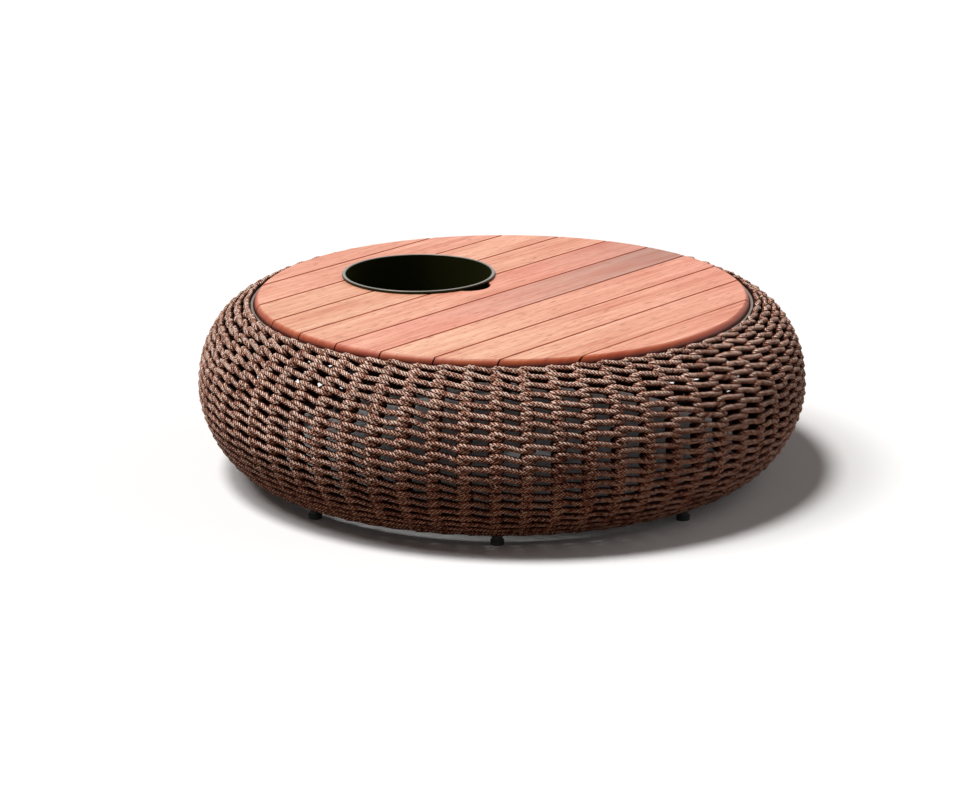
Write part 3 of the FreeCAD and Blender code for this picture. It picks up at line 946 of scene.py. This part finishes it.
class ICETABLE_OT_bucket(TableOperator, bpy.types.Operator):
    """Turn the ice bucket and its rim"""

    bl_idname = "icetable.bucket"
    bl_label = "Ice bucket"

    def execute(self, context):
        sizes = context.scene.ice_table_metal
        colours = context.scene.ice_table_colours
        # Black inside and out with an olive cast, and hardly any gloss
        enamel = even_finish(
            "Black enamel", colours.enamel, roughness=0.35, grit_mm=0.6, relief=0.15, gleam=0.08
        )
        # A thin bright line where hands have worn the rim's crest
        steel = even_finish(
            "Brushed steel", colours.steel, roughness=0.3, grit_mm=0.3, relief=0.2, metallic=1.0
        )
        floor_z, mouth_z = BUCKET_BOX[0][2], BUCKET_BOX[1][2] - sizes.tuck
        inside = BUCKET_RADIUS - sizes.wall
        bend = (BUCKET_RADIUS - sizes.corner, floor_z + sizes.corner)
        profile = [(0.0, floor_z)]
        profile += arc(bend, sizes.corner, -math.pi / 2, 0.0, 6)
        profile += [(BUCKET_RADIUS, mouth_z), (inside, mouth_z)]
        profile += arc(bend, sizes.corner - sizes.wall, 0.0, -math.pi / 2, 6)
        profile.append((0.0, floor_z + sizes.wall))
        bucket = lathe("bucket_shell", profile, BUCKET_CENTRE, 128)
        finished(bucket, enamel, "black_enamel", "bucket", "ice_bucket")

        low, high = RIM_BOX
        outside = (high[0] - low[0]) / 2
        profile = rounded_box(inside, outside, low[2], high[2], sizes.rim_round, 5)
        rim = lathe("rolled_rim", profile, BUCKET_CENTRE, 192, sharp_degrees=60)
        finished(rim, enamel, "bright_steel", "bucket", "bucket_rim")
        rim.data.materials.append(steel)
        for face in rim.data.polygons:
            face.material_index = 1 if face.center.z > high[2] - sizes.rim_wear else 0
        return {"FINISHED"}


class ICETABLE_OT_cage(TableOperator, bpy.types.Operator):
    """Finish the steel rings, ribs, bearers, braces and legs"""

    bl_idname = "icetable.cage"
    bl_label = "Steel cage"

    def execute(self, context):
        sizes = context.scene.ice_table_metal
        colours = context.scene.ice_table_colours
        # Warm grey and satin, seen as a thin band between the boards and the rope
        ring_coat = even_finish(
            "Satin powder coat", colours.ring_paint, roughness=0.5, grit_mm=0.5, relief=0.3
        )
        # Near black, so that the ribs sink into the gaps of the weave
        cage_coat = even_finish(
            "Black powder coat", colours.cage_paint, roughness=0.55, grit_mm=0.5, relief=0.3
        )
        # The rope stands above the upper ring and hides its outer part
        low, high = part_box("top_ring")
        inner = high[0] - sizes.crown_depth
        outer, crest = inner + sizes.crown_width, high[2] - sizes.crown_drop
        ring = lathe("crown_ring", rounded_box(inner, outer, low[2], crest, 1.0 * MM))
        finished(ring, ring_coat, "painted_steel", "table", "top_ring")
        low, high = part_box("base_ring")
        section = rounded_box(high[0] - sizes.foot_width, high[0], low[2], high[2], 1.5 * MM)
        finished(lathe("foot_ring", section), cage_coat, "dark_steel", "table", "base_ring")
        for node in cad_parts:
            if node.startswith(("ribs_bay", "legs")):
                repaint(node, cage_coat)
            elif node.startswith(("bearer", "rail", "brace", "board_lugs")):
                repaint(node, ring_coat)
        return {"FINISHED"}


class ICETABLE_OT_fixings(TableOperator, bpy.types.Operator):
    """Finish the screws and the glides under the legs"""

    bl_idname = "icetable.fixings"
    bl_label = "Screws and glides"

    def execute(self, context):
        colours = context.scene.ice_table_colours
        # Pale grey plating with a soft metal shine
        zinc = even_finish(
            "Zinc plate", colours.zinc, roughness=0.4, grit_mm=0.3, relief=0.2, metallic=1.0
        )
        repaint("board_screws", zinc)
        # Matt black with the fine grain of its mould
        plastic = even_finish(
            "Moulded plastic", colours.plastic, roughness=0.6, grit_mm=0.4, relief=0.4
        )
        repaint("foot_glides", plastic)
        return {"FINISHED"}


def white_seen(tree):
    """1 where a ray brings the white background to the camera, straight or off gloss and glass."""
    path = add(tree, "ShaderNodeLightPath").outputs
    seen = path["Is Camera Ray"]
    for kind in ("Is Glossy Ray", "Is Transmission Ray"):
        seen = add(tree, MATH, {0: seen, 1: path[kind]}, operation="MAXIMUM")
    return seen


def white_floor():
    """Floor that keeps the shadow, seen white."""
    side = 30.0
    corners = [(-side, -side, 0.0), (side, -side, 0.0), (side, side, 0.0), (-side, side, 0.0)]
    floor = mesh_object("floor", corners, [(0, 1, 2, 3)])
    material, tree = new_material("White floor")
    seen = white_seen(tree)
    # The floor is seen white, but throws no more light under the body than a brown one
    tint = add(
        tree, "ShaderNodeMix",
        {0: seen, 6: opaque(srgb("#6a5244")), 7: opaque(srgb("#fffefd"))}, data_type="RGBA",
    )
    paint = add(
        tree, "ShaderNodeBsdfPrincipled",
        {"Base Color": tint.outputs[2], "Roughness": 0.9, "Specular IOR Level": 0.1},
    )
    # A trace of light of its own takes the last grey off the far floor
    glow = add(tree, "ShaderNodeEmission", {"Color": (0.012, 0.012, 0.012, 1.0), "Strength": seen})
    both = add(tree, "ShaderNodeAddShader", {0: paint, 1: glow})
    add(tree, "ShaderNodeOutputMaterial", {"Surface": both})
    floor.data.materials.append(material)


def studio_sky(scene):
    """Even sky, seen white and weak as a light."""
    world = bpy.data.worlds.new("Studio")
    world.use_nodes = True
    scene.world = world
    tree = world.node_tree
    tree.nodes.clear()
    seen = white_seen(tree)
    strength = add(tree, "ShaderNodeMapRange", {"Value": seen, "To Min": 0.045, "To Max": 1.0})
    # What the sky throws into the shadows has come off warm walls
    warmth = add(
        tree, "ShaderNodeMix",
        {0: seen, 6: opaque(srgb("#ffe0d2")), 7: opaque(srgb("#ffffff"))}, data_type="RGBA",
    )
    sky = add(tree, "ShaderNodeBackground", {"Color": warmth.outputs[2], "Strength": strength})
    add(tree, "ShaderNodeOutputWorld", {"Surface": sky})


def view_to_table(right, away, up):
    """Turns a place given as seen by the camera into the table's frame."""
    turn = math.radians(VIEW_DEGREES)
    return Vector(
        (
            math.sin(turn) * right + math.cos(turn) * away,
            -math.cos(turn) * right + math.sin(turn) * away,
            up,
        )
    )


def suns():
    """A key lamp overhead, a softer one further to the left and a weak one at the right."""
    target = Vector((0.0, 0.0, 0.12))
    for name, strength, degrees, seen_place in (
        ("Key", 2.2, 15, (-1.0, -0.16, 3.4)),
        ("Side", 1.08, 20, (-1.95, -0.1, 3.0)),
        ("Fill", 0.38, 60, (2.9, 0.4, 2.1)),
    ):
        sun = bpy.data.lights.new(name, "SUN")
        sun.energy = strength
        sun.angle = math.radians(degrees)
        lamp = linked(bpy.data.objects.new(name, sun))
        lamp.location = view_to_table(*seen_place)
        lamp.rotation_euler = (target - lamp.location).to_track_quat("-Z", "Y").to_euler()


def solved_camera(scene):
    """Camera solved from the photograph: place, aim, roll and field of view."""
    eye = Vector((-3.6733, -3.0486, 1.5446))
    aim = Vector((-0.0177, 0.0210, 0.1099))
    roll = math.radians(-0.246)
    forward = (aim - eye).normalized()
    right = forward.cross(Vector((0, 0, 1))).normalized()
    up = right.cross(forward)
    rolled = math.cos(roll) * right + math.sin(roll) * up
    rolled_up = -math.sin(roll) * right + math.cos(roll) * up
    turn = Matrix((rolled, rolled_up, -forward)).transposed()
    lens = bpy.data.cameras.new("Camera")
    lens.sensor_fit = "HORIZONTAL"
    lens.sensor_width = 36.0
    lens.lens = 111.18
    lens.clip_end = 100.0
    camera = linked(bpy.data.objects.new("Camera", lens))
    camera.matrix_world = Matrix.Translation(eye) @ turn.to_4x4()
    scene.camera = camera


class ICETABLE_OT_stage(TableOperator, bpy.types.Operator):
    """Set up the floor, the lamps, the sky and the camera"""

    bl_idname = "icetable.stage"
    bl_label = "Stage"

    def execute(self, context):
        scene = context.scene
        scene.view_settings.view_transform = "Standard"
        white_floor()
        studio_sky(scene)
        suns()
        solved_camera(scene)
        return {"FINISHED"}


class ICETABLE_PT_panel(bpy.types.Panel):
    """Sizes, colours and the steps that build the table"""

    bl_idname = "ICETABLE_PT_panel"
    bl_label = "Ice bucket coffee table"
    bl_space_type = "VIEW_3D"
    bl_region_type = "UI"
    bl_category = "Ice table"

    def draw(self, context):
        layout = self.layout
        for name in GROUPS:
            group = getattr(context.scene, name)
            box = layout.box()
            for key in group.__annotations__:
                box.prop(group, key)
        for step in OPERATORS:
            layout.operator(step.bl_idname)


OPERATORS = (
    ICETABLE_OT_stage,
    ICETABLE_OT_cage,
    ICETABLE_OT_fixings,
    ICETABLE_OT_rope_wall,
    ICETABLE_OT_boards,
    ICETABLE_OT_bucket,
)
GROUPS = {
    "ice_table_rope": RopeWallSizes,
    "ice_table_boards": BoardSizes,
    "ice_table_metal": MetalSizes,
    "ice_table_colours": TableColours,
}
CLASSES = (*GROUPS.values(), *OPERATORS, ICETABLE_PT_panel)


def register():
    """Adds the classes and hangs the sizes and colours on the scene."""
    for cls in CLASSES:
        bpy.utils.register_class(cls)
    for name, group in GROUPS.items():
        setattr(bpy.types.Scene, name, PointerProperty(type=group))


def unregister():
    """Takes them away again."""
    for name in GROUPS:
        delattr(bpy.types.Scene, name)
    for cls in reversed(CLASSES):
        bpy.utils.unregister_class(cls)


def main():
    """Registers the classes and builds every piece in order."""
    register()
    for step in OPERATORS:
        group, action = step.bl_idname.split(".")
        getattr(getattr(bpy.ops, group), action)()


if __name__ == "__main__":
    main()
